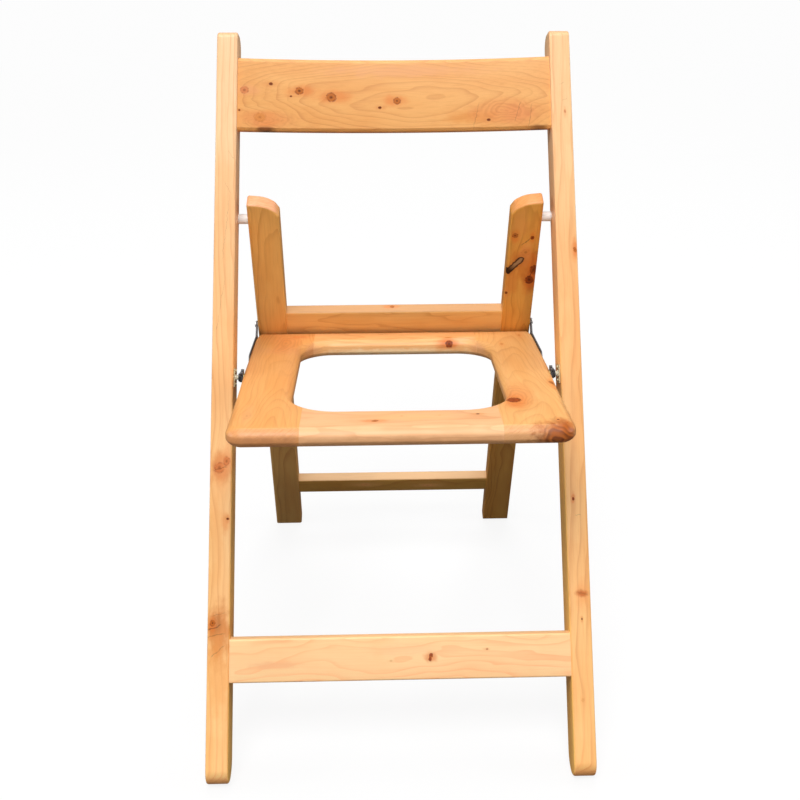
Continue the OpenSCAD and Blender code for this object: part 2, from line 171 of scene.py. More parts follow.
def cut_plane(ob, co, no):
    """Removes what lies on the side the normal points away from, and closes the cut."""
    bm = bmesh.new()
    bm.from_mesh(ob.data)
    geom = list(bm.verts) + list(bm.edges) + list(bm.faces)
    res = bmesh.ops.bisect_plane(bm, geom=geom, dist=1e-6, plane_co=co, plane_no=no, clear_inner=True)
    edges = [g for g in res["geom_cut"] if isinstance(g, bmesh.types.BMEdge)]
    bmesh.ops.contextual_create(bm, geom=edges)
    bmesh.ops.recalc_face_normals(bm, faces=bm.faces)
    bm.to_mesh(ob.data)
    bm.free()


def boolean(ob, other, op="DIFFERENCE"):
    m = ob.modifiers.new("b", "BOOLEAN")
    m.object, m.operation, m.solver = other, op, "EXACT"
    dg = bpy.context.evaluated_depsgraph_get()
    me = bpy.data.meshes.new_from_object(ob.evaluated_get(dg))
    ob.modifiers.clear()
    old = ob.data
    ob.data = me
    me.name = ob.name
    bpy.data.meshes.remove(old)
    bpy.data.objects.remove(other)


def prism(name, pts, lo, hi, place):
    """Straight prism over an outline, for cutting."""
    n = len(pts)
    v = np.vstack([np.column_stack([pts, np.full(n, lo)]), np.column_stack([pts, np.full(n, hi)])])
    f = [tuple(range(n))[::-1], tuple(range(n, 2 * n))]
    f += [(i, (i + 1) % n, n + (i + 1) % n, n + i) for i in range(n)]
    return make_object(name, place(v), f)


def circle_pts(cx, cy, r, n=40):
    a = np.linspace(0, 2 * math.pi, n, endpoint=False)
    return np.column_stack([cx + r * np.cos(a), cy + r * np.sin(a)])


def side_place(fr, sx):
    """(y, z, t) rows with t across the chair on side sx."""
    return lambda v: fr.world(np.column_stack([sx * v[:, 2], v[:, 0], v[:, 1]]))


def off_place(fr, sx, xc):
    return lambda v: fr.world(np.column_stack([sx * (xc + v[:, 2]), v[:, 0], v[:, 1]]))


# ---------------------------------------------------------------- wood material
def lin(c):
    return tuple((x / 255 / 12.92) if x / 255 <= 0.04045 else ((x / 255 + 0.055) / 1.055) ** 2.4 for x in c)


class N:
    """Short hand for building a node tree."""

    def __init__(self, tree):
        self.t = tree

    def new(self, kind, **kw):
        n = self.t.nodes.new(kind)
        for k, v in kw.items():
            setattr(n, k, v)
        return n

    def link(self, a, b):
        self.t.links.new(a, b)

    def val(self, sock, v):
        if hasattr(v, "is_linked") or isinstance(v, bpy.types.NodeSocket):
            self.link(v, sock)
        else:
            sock.default_value = v

    def m(self, op, a, b=None, c=None, clamp=False):
        n = self.new("ShaderNodeMath", operation=op, use_clamp=clamp)
        self.val(n.inputs[0], a)
        if b is not None:
            self.val(n.inputs[1], b)
        if c is not None:
            self.val(n.inputs[2], c)
        return n.outputs[0]

    def xyz(self, x, y, z):
        n = self.new("ShaderNodeCombineXYZ")
        for s, v in zip(n.inputs, (x, y, z)):
            self.val(s, v)
        return n.outputs[0]

    def noise(self, vec, scale=1.0, detail=2.0, rough=0.5, dist=0.0):
        n = self.new("ShaderNodeTexNoise")
        self.link(vec, n.inputs["Vector"])
        n.inputs["Scale"].default_value = scale
        n.inputs["Detail"].default_value = detail
        n.inputs["Roughness"].default_value = rough
        n.inputs["Distortion"].default_value = dist
        return n.outputs["Fac"] if "Fac" in n.outputs else n.outputs[0]

    def ramp(self, fac, stops, interp="LINEAR"):
        n = self.new("ShaderNodeValToRGB")
        self.val(n.inputs[0], fac)
        cr = n.color_ramp
        cr.interpolation = interp
        while len(cr.elements) > 1:
            cr.elements.remove(cr.elements[-1])
        for i, (p, c) in enumerate(stops):
            e = cr.elements[0] if i == 0 else cr.elements.new(p)
            e.position = p
            e.color = (*c, 1) if len(c) == 3 else c
        return n.outputs[0]

    def mix(self, fac, a, b, mode="MIX"):
        n = self.new("ShaderNodeMix", data_type="RGBA", blend_type=mode)
        self.val(n.inputs[0], fac)
        for s, v in ((n.inputs[6], a), (n.inputs[7], b)):
            if isinstance(v, bpy.types.NodeSocket):
                self.link(v, s)
            else:
                s.default_value = (*v, 1) if len(v) == 3 else v
        return n.outputs[2]

    def smooth(self, v, lo, hi):
        n = self.new("ShaderNodeMapRange", interpolation_type="SMOOTHSTEP")
        self.val(n.inputs[0], v)
        n.inputs[1].default_value, n.inputs[2].default_value = lo, hi
        n.inputs[3].default_value, n.inputs[4].default_value = 0.0, 1.0
        return n.outputs[0]


KNOTS = {
    # core, outline, heart, halo, outline strength
    "dark": ((196, 112, 50), (132, 64, 24), (92, 40, 14), (224, 126, 50), 0.75),
    "red": ((214, 130, 82), (172, 88, 50), (140, 66, 38), (234, 158, 102), 0.55),
    "amber": ((220, 142, 74), (192, 108, 50), (170, 92, 42), (232, 154, 86), 0.45),
    "faint": ((228, 164, 108), (206, 138, 84), (196, 124, 72), (238, 176, 118), 0.35),
    "speck": ((124, 56, 22), (100, 44, 18), (66, 28, 12), (222, 142, 74), 0.5),
    "black": ((100, 48, 20), (52, 22, 10), (24, 11, 6), (198, 110, 44), 0.9),
    "maroon": ((150, 66, 24), (92, 36, 12), (58, 22, 8), (220, 116, 40), 0.85),
    "rust": ((160, 70, 28), (96, 40, 14), (110, 46, 18), (226, 124, 50), 0.95),
    "burl": ((200, 116, 46), (88, 38, 12), (120, 60, 20), (190, 104, 38), 0.0),
    "swirl": ((226, 140, 70), (182, 96, 44), (196, 112, 52), (230, 142, 76), 0.0),
}


def wood(name, fr, axes, light, mid, dark, pith=(30, 70), ring=5.0, tilt=0.02, seed=0.0, knots=(), patches=(), cracks=(), slots=(), fibre=1.0,
         contrast=1.0, wave=5.0, nz=(0.03, 0.008), rough=0.42, mottle=0.6, gain=(1, 1, 1), grad=None, sides=None, endtone=(234, 170, 122), topface=None):
    """axes: which local coordinates run across, through and along the grain, such as "xyz".
    knots: (across, along, depth or None, radius, stretch along, kind)
    patches: (across, along, depth or None, radius across, radius along, colour, strength)
    cracks: (across, along, depth or None, angle from the grain, half length, half width, strength)
    slots: long open knots (across, along, across, along, depth, radius)
    topface: (colour, strength) painted on the face that looks along the across axis, as painted light and shade"""
    mat = bpy.data.materials.new(name)
    mat.use_nodes = True
    t = mat.node_tree
    t.nodes.clear()
    g = N(t)
    out = g.new("ShaderNodeOutputMaterial")
    bsdf = g.new("ShaderNodeBsdfPrincipled")
    g.link(bsdf.outputs[0], out.inputs[0])
    tc = g.new("ShaderNodeTexCoord")
    mp = g.new("ShaderNodeMapping", vector_type="TEXTURE")
    g.link(tc.outputs["Object"], mp.inputs["Vector"])
    mp.inputs["Location"].default_value = tuple(fr.o * 0.001)
    mp.inputs["Rotation"].default_value = (fr.angle, 0, 0)
    mp.inputs["Scale"].default_value = (0.001, 0.001, 0.001)
    sp = g.new("ShaderNodeSeparateXYZ")
    g.link(mp.outputs[0], sp.inputs[0])
    comp = {"x": sp.outputs[0], "y": sp.outputs[1], "z": sp.outputs[2]}
    A, D, L = comp[axes[0]], comp[axes[1]], comp[axes[2]]
    As, Ds, Ls = g.m("ADD", A, seed * 37.1), g.m("ADD", D, seed * 11.3), g.m("ADD", L, seed * 91.7)

    warp = None
    marks = []
    for i, (ka, kl, kd, kr, ks, kind) in enumerate(knots):
        da, dl = g.m("SUBTRACT", A, ka), g.m("SUBTRACT", L, kl)
        da2 = g.m("MULTIPLY", da, da)
        dls, dlh = g.m("DIVIDE", dl, ks), g.m("DIVIDE", g.m("SUBTRACT", dl, kr * 0.5 * (1 if i % 2 else -1)), ks * 2.3)
        q, qh = g.m("ADD", da2, g.m("MULTIPLY", dls, dls)), g.m("ADD", da2, g.m("MULTIPLY", dlh, dlh))
        if kd is not None:
            dd = g.m("SUBTRACT", D, kd)
            dd = g.m("MULTIPLY", dd, dd)
            q, qh = g.m("ADD", q, dd), g.m("ADD", qh, dd)
        wn = g.m("SUBTRACT", g.noise(g.xyz(As, Ls, Ds), 0.42 / kr, 2, 0.5), 0.5)
        dist = g.m("MULTIPLY_ADD", wn, kr * 0.55, g.m("SQRT", q))
        disth = g.m("MULTIPLY_ADD", wn, kr * 1.4, g.m("SQRT", qh))
        if kind != "speck":
            # the grain opens round the knot
            q2 = g.m("ADD", da2, g.m("MULTIPLY", g.m("MULTIPLY", dl, dl), 0.12))
            fall = g.m("POWER", 2.718, g.m("MULTIPLY", q2, -1.0 / (2.4 * kr) ** 2))
            push = g.m("MULTIPLY", g.m("MULTIPLY", da, fall), -0.8)
            warp = push if warp is None else g.m("ADD", warp, push)
        marks.append((kind, kr, dist, disth))

    Aw = A if warp is None else g.m("ADD", A, warp)
    Aws = g.m("ADD", Aw, seed * 37.1)
    lown = g.noise(g.xyz(g.m("MULTIPLY", Aws, nz[0]), g.m("MULTIPLY", Ds, nz[0]), g.m("MULTIPLY", Ls, nz[1])), 1.0, 2, 0.5)
    midn = g.noise(g.xyz(g.m("MULTIPLY", Aws, nz[0] * 3), g.m("MULTIPLY", Ds, nz[0] * 3), g.m("MULTIPLY", Ls, nz[1] * 3.2)), 1.0, 2, 0.5)
    pa = g.m("SUBTRACT", Aw, pith[0])
    pd = g.m("ADD", g.m("SUBTRACT", D, pith[1]), g.m("MULTIPLY", L, tilt))
    rad = g.m("SQRT", g.m("ADD", g.m("MULTIPLY", pa, pa), g.m("MULTIPLY", pd, pd)))
    rad = g.m("MULTIPLY_ADD", g.m("SUBTRACT", lown, 0.5), wave * 5.0, rad)
    rad = g.m("MULTIPLY_ADD", g.m("SUBTRACT", midn, 0.5), wave * 0.4, rad)
    yr = g.noise(g.xyz(g.m("MULTIPLY", rad, 0.08), seed, 0.0), 1.0, 1, 0.5)
    radj = g.m("MULTIPLY_ADD", yr, 1.8, g.m("DIVIDE", rad, ring))
    f = g.m("FRACT", radj)
    fall_ = g.m("SUBTRACT", 1.0, g.smooth(f, 0.95, 1.0))
    soft = g.m("MULTIPLY", g.smooth(f, 0.30, 0.97), fall_)
    line = g.m("MULTIPLY", g.smooth(f, 0.66, 0.95), fall_)
    yearn = g.noise(g.xyz(g.m("FLOOR", radj), seed * 3.1, g.m("MULTIPLY", Ls, 0.006)), 1.7, 1, 0.5)
    yw = g.m("MULTIPLY_ADD", yearn, 1.5, -0.15, clamp=True)

    fib = g.noise(g.xyz(g.m("MULTIPLY", Aws, 0.9), g.m("MULTIPLY", Ds, 0.9), g.m("MULTIPLY", Ls, 0.018)), 1.0, 3, 0.62)
    fine = g.noise(g.xyz(g.m("MULTIPLY", Aws, 3.4), g.m("MULTIPLY", Ds, 3.4), g.m("MULTIPLY", Ls, 0.09)), 1.0, 2, 0.6)
    blot = g.noise(g.xyz(g.m("MULTIPLY", Aws, 0.04), g.m("MULTIPLY", Ds, 0.04), g.m("MULTIPLY", Ls, 0.010)), 1.0, 3, 0.55)
    blot2 = g.noise(g.xyz(As, Ds, Ls), 0.021, 3, 0.6)

    G = lambda c: tuple(min(1.0, x * y) for x, y in zip(c, gain))
    light, mid, dark = G(light), G(mid), G(dark)
    col = g.mix(g.m("MULTIPLY", g.smooth(blot, 0.30, 0.72), mottle), light, mid)
    col = g.mix(g.m("MULTIPLY", g.smooth(blot2, 0.52, 0.75), 0.30 * mottle), col, tuple(x * y for x, y in zip(mid, (0.96, 0.86, 0.74))))
    col = g.mix(g.m("MULTIPLY", g.m("MULTIPLY", soft, yw), 0.30 * contrast, clamp=True), col, dark)
    col = g.mix(g.m("MULTIPLY", g.m("MULTIPLY", line, yw), 0.44 * contrast, clamp=True), col, dark)
    col = g.mix(g.m("MULTIPLY", g.smooth(fib, 0.42, 0.78), 0.22 * fibre), col, dark)
    col = g.mix(g.m("MULTIPLY", g.smooth(fine, 0.56, 0.80), 0.16 * fibre), col, tuple(x * 0.8 for x in dark))

    # end grain is a little darker and pinker
    nv = g.new("ShaderNodeVectorMath", operation="DOT_PRODUCT")
    g.link(tc.outputs["Normal"], nv.inputs[0])
    nv.inputs[1].default_value = tuple(fr.r[:, "xyz".index(axes[2])])
    endf = g.smooth(g.m("ABSOLUTE", nv.outputs["Value"]), 0.30, 0.62)
    slant = g.m("MULTIPLY_ADD", As, 0.55, g.m("MULTIPLY", Ds, -1.0))
    pores = g.noise(g.xyz(g.m("MULTIPLY", slant, 1.1), g.m("MULTIPLY", As, 0.12), g.m("MULTIPLY", Ls, 0.1)), 1.0, 3, 0.65)
    endc = g.mix(g.m("MULTIPLY", g.smooth(pores, 0.42, 0.68), 0.5), G(lin(endtone)), dark)
    col = g.mix(g.m("MULTIPLY", endf, 0.7), col, endc)

    for (pa_, pl_, pd_, ra_, rl_, pc_, ps_) in patches:
        u = g.m("DIVIDE", g.m("SUBTRACT", A, pa_), ra_)
        v = g.m("DIVIDE", g.m("SUBTRACT", L, pl_), rl_)
        q = g.m("ADD", g.m("MULTIPLY", u, u), g.m("MULTIPLY", v, v))
        if pd_ is not None:
            w = g.m("DIVIDE", g.m("SUBTRACT", D, pd_), min(ra_, rl_) * 0.9)
            q = g.m("ADD", q, g.m("MULTIPLY", w, w))
        q = g.m("MULTIPLY_ADD", g.m("SUBTRACT", g.noise(g.xyz(g.m("MULTIPLY", As, 1.0), Ds, g.m("MULTIPLY", Ls, 0.6)), 0.11, 3, 0.6), 0.5), 1.3, g.m("SQRT", q))
        col = g.mix(g.m("MULTIPLY", g.m("SUBTRACT", 1.0, g.smooth(q, 0.25, 1.1)), ps_), col, lin(pc_))

    # painted light and shade: the face looking along the across axis gets its own colour
    if topface:
        tv = g.new("ShaderNodeVectorMath", operation="DOT_PRODUCT")
        g.link(tc.outputs["Normal"], tv.inputs[0])
        tv.inputs[1].default_value = tuple(fr.r[:, "xyz".index(axes[0])])
        tf = g.m("MULTIPLY", g.smooth(tv.outputs["Value"], 0.45, 0.85), topface[1])
        tcol = g.mix(g.m("MULTIPLY", g.smooth(fib, 0.40, 0.78), 0.5), lin(topface[0]), tuple(x * 0.86 for x in lin(topface[0])))
        col = g.mix(tf, col, tcol)

    height = g.m("MULTIPLY_ADD", g.m("MULTIPLY", line, yw), -0.3, g.m("MULTIPLY", fib, 0.5))
    rgh = g.m("MULTIPLY_ADD", fib, 0.16, rough - 0.08)
    spec = 0.36
    mod = g.noise(g.xyz(As, Ls, Ds), 0.35, 2, 0.6)
    marks.sort(key=lambda q: q[0] not in ("swirl", "burl"))
    for kind, kr, dist, disth in marks:
        c0, c1, c2, hl, es = KNOTS[kind]
        if kind in ("swirl", "burl"):
            # curved dark lines of a branch that never broke the surface
            wob = g.noise(g.xyz(As, g.m("MULTIPLY", Ls, 0.5), Ds), 0.55 / kr, 1, 0.5)
            arc = g.m("FRACT", g.m("DIVIDE", g.m("MULTIPLY_ADD", wob, kr * 2.4, disth), kr * 0.5))
            ln = g.m("MULTIPLY", g.smooth(arc, 0.10, 0.72), g.m("SUBTRACT", 1.0, g.smooth(arc, 0.72, 1.0)))
            fade = g.m("SUBTRACT", 1.0, g.smooth(disth, kr * 0.8, kr * 2.3))
            col = g.mix(g.m("MULTIPLY", fade, 0.45), col, lin(hl))
            col = g.mix(g.m("MULTIPLY", g.m("MULTIPLY", ln, fade), 0.24 if kind == "swirl" else 0.75), col, lin(c1))
            continue
        k = 0.45 if kind in ("faint",) else (0.75 if kind in ("red", "amber") else 0.95)
        halo = g.m("SUBTRACT", 1.0, g.smooth(disth, kr * 0.5, kr * (2.4 if kind != "speck" else 3.0)))
        core = g.m("SUBTRACT", 1.0, g.smooth(dist, kr * 0.75, kr * 1.05))
        heart = g.m("SUBTRACT", 1.0, g.smooth(dist, kr * 0.05, kr * 0.48))
        edge = g.m("MULTIPLY", g.smooth(dist, kr * 0.60, kr * 0.90), g.m("SUBTRACT", 1.0, g.smooth(dist, kr * 0.95, kr * 1.2)))
        col = g.mix(g.m("MULTIPLY", g.m("POWER", halo, 1.6), 0.68 * k), col, lin(hl))
        rings = g.smooth(g.m("FRACT", g.m("DIVIDE", dist, max(0.8, kr * 0.24))), 0.3, 0.9)
        kc = g.mix(g.m("MULTIPLY", rings, 0.35), lin(c0), lin(c1))
        kc = g.mix(g.m("MULTIPLY", heart, 0.85), kc, lin(c2))
        col = g.mix(g.m("MULTIPLY", core, k), col, kc)
        ef = g.m("MULTIPLY", edge, g.smooth(mod, 0.38, 0.62))
        col = g.mix(g.m("MULTIPLY", ef, es), col, lin(c1))
        height = g.m("MULTIPLY_ADD", ef, -0.5, height)
        spec = g.m("MULTIPLY_ADD", g.m("MULTIPLY", core, k), -0.28, spec, clamp=True)
    for (a0, l0, a1, l1, kd, kr) in slots:
        dx, dy = a1 - a0, l1 - l0
        px, py = g.m("SUBTRACT", A, a0), g.m("SUBTRACT", L, l0)
        tt = g.m("DIVIDE", g.m("ADD", g.m("MULTIPLY", px, dx), g.m("MULTIPLY", py, dy)), dx * dx + dy * dy, clamp=True)
        ex, ey = g.m("SUBTRACT", px, g.m("MULTIPLY", tt, dx)), g.m("SUBTRACT", py, g.m("MULTIPLY", tt, dy))
        dist = g.m("SQRT", g.m("ADD", g.m("MULTIPLY", ex, ex), g.m("MULTIPLY", ey, ey)))
        dist = g.m("MULTIPLY_ADD", g.m("SUBTRACT", g.noise(g.xyz(As, Ls, Ds), 0.22, 2, 0.6), 0.5), kr * 0.9, dist)
        front = g.m("SUBTRACT", 1.0, g.smooth(g.m("ABSOLUTE", g.m("SUBTRACT", D, kd)), 2.0, 5.0))
        ins = g.m("MULTIPLY", front, g.m("SUBTRACT", 1.0, g.smooth(dist, kr * 0.8, kr * 1.1)))
        rim = g.m("MULTIPLY", g.m("MULTIPLY", front, g.smooth(dist, kr * 0.35, kr * 0.8)), g.m("SUBTRACT", 1.0, g.smooth(dist, kr * 0.95, kr * 1.25)))
        glow = g.m("MULTIPLY", front, g.m("SUBTRACT", 1.0, g.smooth(dist, kr * 0.9, kr * 2.8)))
        col = g.mix(g.m("MULTIPLY", glow, 0.5), col, lin((198, 108, 42)))
        col = g.mix(ins, col, g.mix(g.smooth(tt, 0.35, 0.95), lin((168, 128, 92)), lin((58, 34, 20))))
        col = g.mix(g.m("MULTIPLY", rim, 0.9), col, lin((44, 20, 10)))
        height = g.m("MULTIPLY_ADD", rim, -1.0, height)
        spec = g.m("MULTIPLY_ADD", ins, -0.28, spec, clamp=True)
    for (ca, cl, cd, ang, length, width, cs) in cracks:
        ca_, sa_ = math.cos(ang), math.sin(ang)
        da, dl = g.m("SUBTRACT", A, ca), g.m("SUBTRACT", L, cl)
        al = g.m("ADD", g.m("MULTIPLY", da, sa_), g.m("MULTIPLY", dl, ca_))
        ac = g.m("SUBTRACT", g.m("MULTIPLY", da, ca_), g.m("MULTIPLY", dl, sa_))
        ac = g.m("MULTIPLY_ADD", g.m("SUBTRACT", g.noise(g.xyz(As, Ls, Ds), 0.16, 3, 0.6), 0.5), 5.0, ac)
        fz = g.m("MULTIPLY", g.m("SUBTRACT", 1.0, g.smooth(g.m("ABSOLUTE", ac), width * 0.3, width)),
                 g.m("SUBTRACT", 1.0, g.smooth(g.m("ABSOLUTE", al), length * 0.6, length)))
        if cd is not None:
            fz = g.m("MULTIPLY", fz, g.m("SUBTRACT", 1.0, g.smooth(g.m("ABSOLUTE", g.m("SUBTRACT", D, cd)), 4.0, 8.0)))
        col = g.mix(g.m("MULTIPLY", fz, cs), col, lin((92, 46, 22)))
        height = g.m("MULTIPLY_ADD", fz, -0.8 * cs, height)

    # painted light and shade: a tint along the length, multiplied onto the colour
    if grad:
        l0, l1 = grad[0][0], grad[-1][0]
        peak = max(max(c) for _, c in grad)
        fac = g.m("DIVIDE", g.m("SUBTRACT", L, l0), l1 - l0)
        gr = g.ramp(fac, [((q - l0) / (l1 - l0), tuple(x / peak for x in c)) for q, c in grad])
        vm = g.new("ShaderNodeVectorMath", operation="SCALE")
        g.link(gr, vm.inputs[0])
        vm.inputs["Scale"].default_value = peak
        mm = g.new("ShaderNodeVectorMath", operation="MULTIPLY")
        g.link(col, mm.inputs[0])
        g.link(vm.outputs[0], mm.inputs[1])
        col = mm.outputs[0]

    # painted light and shade on the faces looking along x, changing along the length
    if sides:
        sx = g.new("ShaderNodeVectorMath", operation="DOT_PRODUCT")
        g.link(tc.outputs["Normal"], sx.inputs[0])
        sx.inputs[1].default_value = (sides[4], 0, 0)
        onside = g.smooth(sx.outputs["Value"], 0.6, 0.9)
        tone = g.mix(g.smooth(L, sides[0], sides[1]), sides[2], sides[3])
        tone = g.mix(onside, (1, 1, 1), tone)
        mm = g.new("ShaderNodeVectorMath", operation="MULTIPLY")
        g.link(col, mm.inputs[0])
        g.link(tone, mm.inputs[1])
        col = mm.outputs[0]

    # slightly paler colour on the sharp convex edges
    geo = g.new("ShaderNodeNewGeometry")
    pale_arris = g.m("MULTIPLY", g.smooth(geo.outputs["Pointiness"], 0.53, 0.60), 0.25)
    col = g.mix(pale_arris, col, tuple(min(1.0, x * 1.1) for x in light))

    g.link(col, bsdf.inputs["Base Color"])
    g.link(rgh, bsdf.inputs["Roughness"])
    if "Specular IOR Level" in bsdf.inputs:
        g.val(bsdf.inputs["Specular IOR Level"], spec)
    if "Coat Weight" in bsdf.inputs:
        bsdf.inputs["Coat Weight"].default_value = 0.08
        bsdf.inputs["Coat Roughness"].default_value = 0.35
    bump = g.new("ShaderNodeBump")
    bump.inputs["Strength"].default_value = 0.20
    bump.inputs["Distance"].default_value = 0.0006
    g.link(height, bump.inputs["Height"])
    g.link(bump.outputs[0], bsdf.inputs["Normal"])
    return mat


def plain(name, base, rough, metal=0.0, speck=0.10, scale=900.0, brushed=None, bump=0.12, edge=None, dirt=None):
    """Metal or plastic with fine roughness, bump and edge wear."""
    mat = bpy.data.materials.new(name)
    mat.use_nodes = True
    t = mat.node_tree
    t.nodes.clear()
    g = N(t)
    out = g.new("ShaderNodeOutputMaterial")
    b = g.new("ShaderNodeBsdfPrincipled")
    g.link(b.outputs[0], out.inputs[0])
    tc = g.new("ShaderNodeTexCoord")
    vec = tc.outputs["Object"]
    if brushed:
        mp = g.new("ShaderNodeMapping")
        g.link(vec, mp.inputs[0])
        mp.inputs["Scale"].default_value = brushed
        vec = mp.outputs[0]
    n1 = g.noise(vec, scale, 3, 0.6)
    n2 = g.noise(tc.outputs["Object"], scale * 0.07, 2, 0.5)
    col = g.mix(g.m("MULTIPLY", g.smooth(n2, 0.35, 0.7), 0.5), base, tuple(x * (1 - speck * 2) for x in base))
    if dirt:
        col = g.mix(g.m("MULTIPLY", g.smooth(n1, 0.55, 0.75), 0.4), col, dirt)
    geo = g.new("ShaderNodeNewGeometry")
    if edge:
        col = g.mix(g.m("MULTIPLY", g.smooth(geo.outputs["Pointiness"], 0.53, 0.58), 0.7), col, edge)
    g.link(col, b.inputs["Base Color"])
    b.inputs["Metallic"].default_value = metal
    g.link(g.m("MULTIPLY_ADD", n1, 0.22, rough - 0.11), b.inputs["Roughness"])
    bp = g.new("ShaderNodeBump")
    bp.inputs["Strength"].default_value = bump
    bp.inputs["Distance"].default_value = 0.0002
    g.link(n1, bp.inputs["Height"])
    g.link(bp.outputs[0], b.inputs["Normal"])
    return mat


# ---------------------------------------------------------------- pieces
def finish_piece(ob, node, body, mat, angle=38):
    shade(ob, angle)
    ob.data.materials.clear()
    ob.data.materials.append(mat)
    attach(ob, body)
    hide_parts(node)
    return ob


def build_post(s):
    o = arc_outline([(-PD, -PD, PD), (PD, -PD, PD), (PD, POST_LEN, 20), (-PD, POST_LEN, 8)], 14)
    ob = plank(("left" if s < 0 else "right") + "_post_wood", o, 12.5, 2.6, off_place(POST, s, XIN + 12.5), 5)
    cut_plane(ob, (0, 0, 0), (0, 0, 1))
    cyl = prism("cut", circle_pts(P_TOP, Q_TOP, 5.6), 215 - 4.2, 222, side_place(POST, s))
    boolean(ob, cyl)
    return ob


def fold_path():
    f0, l0 = math.degrees(TA - AL), math.degrees(AL + PH)
    k = l0 / (90 - f0)
    pts = []
    for i in range(41):
        f = f0 + (90 - f0) * i / 40
        th, fr = math.radians(l0 - k * (f - f0)), math.radians(f)
        u = -P_SEAT - P_TOP + 161 * math.cos(fr) + 17.5 * math.sin(fr)
        v = Q_SEAT - Q_TOP - 161 * math.sin(fr) + 17.5 * math.cos(fr)
        pts.append((u * math.cos(th) + v * math.sin(th), -u * math.sin(th) + v * math.cos(th)))
    return np.array(pts)


def build_leg(s):
    x0, x1, top, bot = XLEG - 38, XLEG, 30.5, -LEG_LEN - 10
    o = arc_outline([(x0, bot, 2.5), (x1, bot, 2.5), (x1, top, 2.6), (x1 - 22, top - 2.2, 34), (x1 - 33, top - 10.5, 14), (x0, top - 19.5, 5)], 10)
    place = lambda v: LEG.world(np.column_stack([s * v[:, 0], v[:, 2], v[:, 1]]))
    ob = plank(("left" if s < 0 else "right") + "_rear_leg_wood", o, LT, 2.8, place, 5)
    # round foot
    a = np.linspace(math.pi, 2 * math.pi, 25)
    prof = np.vstack([np.column_stack([LT * np.cos(a), -LEG_LEN + LT * np.sin(a)]), [[LT + 0.01, 60], [-LT - 0.01, 60]]])
    boolean(ob, prism("cut", prof, x0 - 5, x1 + 5, side_place(LEG, s)), "INTERSECT")
    cut_plane(ob, (0, 0, 0), (0, 0, 1))
    # cam groove
    p = fold_path()
    d = np.gradient(p, axis=0)
    d /= np.linalg.norm(d, axis=1)[:, None]
    nn = np.column_stack([-d[:, 1], d[:, 0]])
    r = 2.9
    a1, a0 = math.atan2(nn[-1][1], nn[-1][0]), math.atan2(nn[0][1], nn[0][0])
    ring = list(p + nn * r) + [p[-1] + r * np.array([math.cos(a1 - k * math.pi / 12), math.sin(a1 - k * math.pi / 12)]) for k in range(1, 12)]
    ring += list((p - nn * r)[::-1]) + [p[0] - r * np.array([math.cos(a0 - k * math.pi / 12), math.sin(a0 - k * math.pi / 12)]) for k in range(1, 12)]
    boolean(ob, prism("cut", np.array(ring), XLEG - 8.5, XLEG + 3, side_place(LEG, s)))
    return ob


def build_bar(name, fr, x, y0, y1, z0, z1, r):
    """Straight rail between -x and x; rounded on its four long edges."""
    o = arc_outline([(y0, z0, r), (y1, z0, r), (y1, z1, r), (y0, z1, r)], 6)
    pts, _ = o
    xs = np.linspace(-x, x, 9)
    n = len(pts)
    v = np.vstack([np.column_stack([np.full(n, xx), pts]) for xx in xs])
    f = [(k * n + i, k * n + (i + 1) % n, (k + 1) * n + (i + 1) % n, (k + 1) * n + i) for k in range(len(xs) - 1) for i in range(n)]
    f += [tuple(range(n))[::-1], tuple(range((len(xs) - 1) * n, len(xs) * n))]
    return make_object(name, fr.world(v), f)


def build_slat():
    bow, t, h, q0 = 16.0, 16.0, 90.0, 710.5
    R = (XIN ** 2 + bow ** 2) / (2 * bow)
    pts, _ = arc_outline([(0, 3.6, 1.6), (3.0, 0, 1.6), (t - 3, 0, 1.6), (t, 3, 1.6), (t, h - 4, 2), (t - 4, h, 2), (3.8, h, 1.2), (0, h - 4.6, 1.2)], 8)
    n = len(pts)
    xs = np.linspace(-XIN - 0.5, XIN + 0.5, 57)
    rows = []
    for x in xs:
        a = math.asin(x / R)
        for (d, q) in pts:
            rows.append(((R + d) * math.sin(a), bow - 15 - R + (R + d) * math.cos(a), q0 + q))
    v = np.array(rows)
    f = [(k * n + i, k * n + (i + 1) % n, (k + 1) * n + (i + 1) % n, (k + 1) * n + i) for k in range(len(xs) - 1) for i in range(n)]
    f += [tuple(range(n))[::-1], tuple(range((len(xs) - 1) * n, len(xs) * n))]
    return make_object("backrest_slat_wood", POST.world(v), f)


def edge_profile():
    """Routed edge: (inward, downward) shares of the radius, from the flat top to the wall, with soft arrises at both ends."""
    steps = [(7, .10), (16, .08), (27, .20), (35, .24), (42, .22), (48, .22), (55, .24), (63, .20), (74, .08), (83, .10)]
    x, y, pts = 0.0, 0.0, [(0.0, 0.0)]
    for d, l in steps:
        x += l * math.cos(math.radians(d))
        y += l * math.sin(math.radians(d))
        pts.append((x, y))
    return [(1 - a / x, b / y) for a, b in pts]


